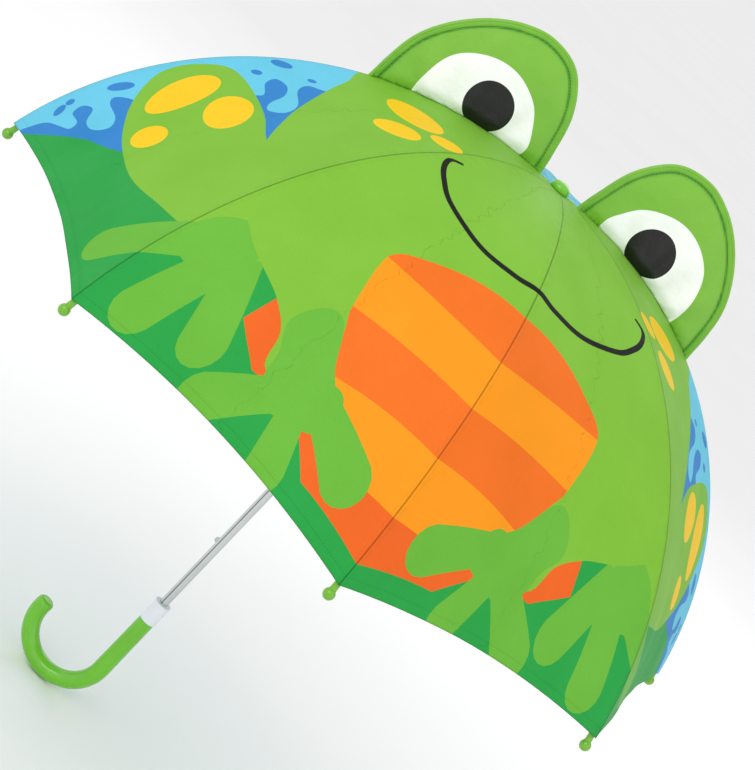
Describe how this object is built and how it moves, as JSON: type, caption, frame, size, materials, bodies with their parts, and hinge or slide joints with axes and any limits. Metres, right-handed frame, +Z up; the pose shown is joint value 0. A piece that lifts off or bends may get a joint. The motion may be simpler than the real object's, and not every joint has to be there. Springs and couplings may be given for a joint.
{
  "type": "children's umbrella",
  "caption": "Open children's umbrella with a frog-face canopy, stand-up cloth eyes, metal shaft with sliding runner, folding ribs and a green hook handle.",
  "frame": {"origin": "on the shaft axis, level with the lowest point of the hook", "axes": "+Z up the shaft to the top cap, frog face toward -Y, hook toward -X and a little back"},
  "size_m": [0.7156, 0.7156, 0.6963],
  "materials": {
    "chrome_tube": "polished",
    "lime_plastic": "gloss",
    "white_plastic": "satin",
    "white_nylon": "matte",
    "rib_steel": "satin",
    "spring_steel": "bright",
    "canopy_cloth": "printed woven polyester",
    "eye_cloth": "printed woven polyester",
    "wire": "bright"
  },
  "bodies": {
    "stick": {"shaft": "chrome_tube", "handle": "lime_plastic", "collar": "white_plastic", "crown": "white_nylon", "crown_wire": "wire", "top_cap": "lime_plastic"},
    "runner": {"runner": "white_nylon", "runner_wire": "wire"},
    "hand_spring": {"hand_spring": "spring_steel"},
    "top_spring": {"top_spring": "spring_steel"},
    "rib_right": {"rib_right": "rib_steel", "canopy_right": "canopy_cloth", "eye_right": "eye_cloth", "eye_wire_right": "wire"},
    "rib_end_right": {"rib_end_right": "rib_steel", "tip_right": "lime_plastic"},
    "stretcher_right": {"stretcher_right": "rib_steel"},
    "rib_back_right": {"rib_back_right": "rib_steel", "canopy_back_right": "canopy_cloth"},
    "rib_end_back_right": {"rib_end_back_right": "rib_steel", "tip_back_right": "lime_plastic"},
    "stretcher_back_right": {"stretcher_back_right": "rib_steel"},
    "rib_back": {"rib_back": "rib_steel", "canopy_back": "canopy_cloth"},
    "rib_end_back": {"rib_end_back": "rib_steel", "tip_back": "lime_plastic"},
    "stretcher_back": {"stretcher_back": "rib_steel"},
    "rib_back_left": {"rib_back_left": "rib_steel", "canopy_back_left": "canopy_cloth"},
    "rib_end_back_left": {"rib_end_back_left": "rib_steel", "tip_back_left": "lime_plastic"},
    "stretcher_back_left": {"stretcher_back_left": "rib_steel"},
    "rib_left": {"rib_left": "rib_steel", "canopy_left": "canopy_cloth", "eye_left": "eye_cloth", "eye_wire_left": "wire"},
    "rib_end_left": {"rib_end_left": "rib_steel", "tip_left": "lime_plastic"},
    "stretcher_left": {"stretcher_left": "rib_steel"},
    "rib_front_left": {"rib_front_left": "rib_steel", "canopy_front_left": "canopy_cloth"},
    "rib_end_front_left": {"rib_end_front_left": "rib_steel", "tip_front_left": "lime_plastic"},
    "stretcher_front_left": {"stretcher_front_left": "rib_steel"},
    "rib_front": {"rib_front": "rib_steel", "canopy_front": "canopy_cloth"},
    "rib_end_front": {"rib_end_front": "rib_steel", "tip_front": "lime_plastic"},
    "stretcher_front": {"stretcher_front": "rib_steel"},
    "rib_front_right": {"rib_front_right": "rib_steel", "canopy_front_right": "canopy_cloth"},
    "rib_end_front_right": {"rib_end_front_right": "rib_steel", "tip_front_right": "lime_plastic"},
    "stretcher_front_right": {"stretcher_front_right": "rib_steel"}
  },
  "joints": [
    {"name": "runner_slide", "type": "slide", "parent": "stick", "child": "runner", "axis": [0, 0, -1], "range_m": [0, 0.28863]},
    {"name": "hand_spring_press", "type": "slide", "parent": "stick", "child": "hand_spring", "axis": [0.9239, -0.3827, 0], "range_m": [0, 0.0026], "stiffness_N_per_m": 800},
    {"name": "top_spring_press", "type": "slide", "parent": "stick", "child": "top_spring", "axis": [0.9239, -0.3827, 0], "range_m": [0, 0.0026], "stiffness_N_per_m": 800},
    {"name": "rib_right_hinge", "type": "hinge", "parent": "stick", "child": "rib_right", "pos_m": [0.01, 0, 0.60697], "axis": [0, 1, 0], "range_deg": [0, 72.3], "deforming": ["canopy_right"]},
    {"name": "rib_right_flex", "type": "hinge", "parent": "rib_right", "child": "rib_end_right", "pos_m": [0.19283, 0, 0.56407], "axis": [0, 1, 0], "range_deg": [-40.01, 0]},
    {"name": "stretcher_right_hinge", "type": "hinge", "parent": "rib_right", "child": "stretcher_right", "pos_m": [0.19283, 0, 0.56407], "axis": [0, 1, 0], "range_deg": [-144.61, 0]},
    {"name": "rib_back_right_hinge", "type": "hinge", "parent": "stick", "child": "rib_back_right", "pos_m": [0.00707, 0.00707, 0.60697], "axis": [-0.7071, 0.7071, 0], "range_deg": [0, 72.3], "deforming": ["canopy_back_right"]},
    {"name": "rib_back_right_flex", "type": "hinge", "parent": "rib_back_right", "child": "rib_end_back_right", "pos_m": [0.13635, 0.13635, 0.56407], "axis": [-0.7071, 0.7071, 0], "range_deg": [-40.01, 0]},
    {"name": "stretcher_back_right_hinge", "type": "hinge", "parent": "rib_back_right", "child": "stretcher_back_right", "pos_m": [0.13635, 0.13635, 0.56407], "axis": [-0.7071, 0.7071, 0], "range_deg": [-144.61, 0]},
    {"name": "rib_back_hinge", "type": "hinge", "parent": "stick", "child": "rib_back", "pos_m": [0, 0.01, 0.60697], "axis": [-1, 0, 0], "range_deg": [0, 72.3], "deforming": ["canopy_back"]},
    {"name": "rib_back_flex", "type": "hinge", "parent": "rib_back", "child": "rib_end_back", "pos_m": [0, 0.19283, 0.56407], "axis": [-1, 0, 0], "range_deg": [-40.01, 0]},
    {"name": "stretcher_back_hinge", "type": "hinge", "parent": "rib_back", "child": "stretcher_back", "pos_m": [0, 0.19283, 0.56407], "axis": [-1, 0, 0], "range_deg": [-144.61, 0]},
    {"name": "rib_back_left_hinge", "type": "hinge", "parent": "stick", "child": "rib_back_left", "pos_m": [-0.00707, 0.00707, 0.60697], "axis": [-0.7071, -0.7071, 0], "range_deg": [0, 72.3], "deforming": ["canopy_back_left"]},
    {"name": "rib_back_left_flex", "type": "hinge", "parent": "rib_back_left", "child": "rib_end_back_left", "pos_m": [-0.13635, 0.13635, 0.56407], "axis": [-0.7071, -0.7071, 0], "range_deg": [-40.01, 0]},
    {"name": "stretcher_back_left_hinge", "type": "hinge", "parent": "rib_back_left", "child": "stretcher_back_left", "pos_m": [-0.13635, 0.13635, 0.56407], "axis": [-0.7071, -0.7071, 0], "range_deg": [-144.61, 0]},
    {"name": "rib_left_hinge", "type": "hinge", "parent": "stick", "child": "rib_left", "pos_m": [-0.01, 0, 0.60697], "axis": [0, -1, 0], "range_deg": [0, 72.3], "deforming": ["canopy_left"]},
    {"name": "rib_left_flex", "type": "hinge", "parent": "rib_left", "child": "rib_end_left", "pos_m": [-0.19283, 0, 0.56407], "axis": [0, -1, 0], "range_deg": [-40.01, 0]},
    {"name": "stretcher_left_hinge", "type": "hinge", "parent": "rib_left", "child": "stretcher_left", "pos_m": [-0.19283, 0, 0.56407], "axis": [0, -1, 0], "range_deg": [-144.61, 0]},
    {"name": "rib_front_left_hinge", "type": "hinge", "parent": "stick", "child": "rib_front_left", "pos_m": [-0.00707, -0.00707, 0.60697], "axis": [0.7071, -0.7071, 0], "range_deg": [0, 72.3], "deforming": ["canopy_front_left"]},
    {"name": "rib_front_left_flex", "type": "hinge", "parent": "rib_front_left", "child": "rib_end_front_left", "pos_m": [-0.13635, -0.13635, 0.56407], "axis": [0.7071, -0.7071, 0], "range_deg": [-40.01, 0]},
    {"name": "stretcher_front_left_hinge", "type": "hinge", "parent": "rib_front_left", "child": "stretcher_front_left", "pos_m": [-0.13635, -0.13635, 0.56407], "axis": [0.7071, -0.7071, 0], "range_deg": [-144.61, 0]},
    {"name": "rib_front_hinge", "type": "hinge", "parent": "stick", "child": "rib_front", "pos_m": [0, -0.01, 0.60697], "axis": [1, 0, 0], "range_deg": [0, 72.3], "deforming": ["canopy_front"]},
    {"name": "rib_front_flex", "type": "hinge", "parent": "rib_front", "child": "rib_end_front", "pos_m": [0, -0.19283, 0.56407], "axis": [1, 0, 0], "range_deg": [-40.01, 0]},
    {"name": "stretcher_front_hinge", "type": "hinge", "parent": "rib_front", "child": "stretcher_front", "pos_m": [0, -0.19283, 0.56407], "axis": [1, 0, 0], "range_deg": [-144.61, 0]},
    {"name": "rib_front_right_hinge", "type": "hinge", "parent": "stick", "child": "rib_front_right", "pos_m": [0.00707, -0.00707, 0.60697], "axis": [0.7071, 0.7071, 0], "range_deg": [0, 72.3], "deforming": ["canopy_front_right"]},
    {"name": "rib_front_right_flex", "type": "hinge", "parent": "rib_front_right", "child": "rib_end_front_right", "pos_m": [0.13635, -0.13635, 0.56407], "axis": [0.7071, 0.7071, 0], "range_deg": [-40.01, 0]},
    {"name": "stretcher_front_right_hinge", "type": "hinge", "parent": "rib_front_right", "child": "stretcher_front_right", "pos_m": [0.13635, -0.13635, 0.56407], "axis": [0.7071, 0.7071, 0], "range_deg": [-144.61, 0]}
  ],
  "couplings": [
    {"joint": "rib_right_hinge", "follows": "runner_slide", "rad_per_m": 4.3715},
    {"joint": "rib_right_flex", "follows": "runner_slide", "rad_per_m": -2.4187},
    {"joint": "stretcher_right_hinge", "follows": "runner_slide", "rad_per_m": -8.743},
    {"joint": "rib_back_right_hinge", "follows": "runner_slide", "rad_per_m": 4.3715},
    {"joint": "rib_back_right_flex", "follows": "runner_slide", "rad_per_m": -2.4187},
    {"joint": "stretcher_back_right_hinge", "follows": "runner_slide", "rad_per_m": -8.743},
    {"joint": "rib_back_hinge", "follows": "runner_slide", "rad_per_m": 4.3715},
    {"joint": "rib_back_flex", "follows": "runner_slide", "rad_per_m": -2.4187},
    {"joint": "stretcher_back_hinge", "follows": "runner_slide", "rad_per_m": -8.743},
    {"joint": "rib_back_left_hinge", "follows": "runner_slide", "rad_per_m": 4.3715},
    {"joint": "rib_back_left_flex", "follows": "runner_slide", "rad_per_m": -2.4187},
    {"joint": "stretcher_back_left_hinge", "follows": "runner_slide", "rad_per_m": -8.743},
    {"joint": "rib_left_hinge", "follows": "runner_slide", "rad_per_m": 4.3715},
    {"joint": "rib_left_flex", "follows": "runner_slide", "rad_per_m": -2.4187},
    {"joint": "stretcher_left_hinge", "follows": "runner_slide", "rad_per_m": -8.743},
    {"joint": "rib_front_left_hinge", "follows": "runner_slide", "rad_per_m": 4.3715},
    {"joint": "rib_front_left_flex", "follows": "runner_slide", "rad_per_m": -2.4187},
    {"joint": "stretcher_front_left_hinge", "follows": "runner_slide", "rad_per_m": -8.743},
    {"joint": "rib_front_hinge", "follows": "runner_slide", "rad_per_m": 4.3715},
    {"joint": "rib_front_flex", "follows": "runner_slide", "rad_per_m": -2.4187},
    {"joint": "stretcher_front_hinge", "follows": "runner_slide", "rad_per_m": -8.743},
    {"joint": "rib_front_right_hinge", "follows": "runner_slide", "rad_per_m": 4.3715},
    {"joint": "rib_front_right_flex", "follows": "runner_slide", "rad_per_m": -2.4187},
    {"joint": "stretcher_front_right_hinge", "follows": "runner_slide", "rad_per_m": -8.743}
  ]
}
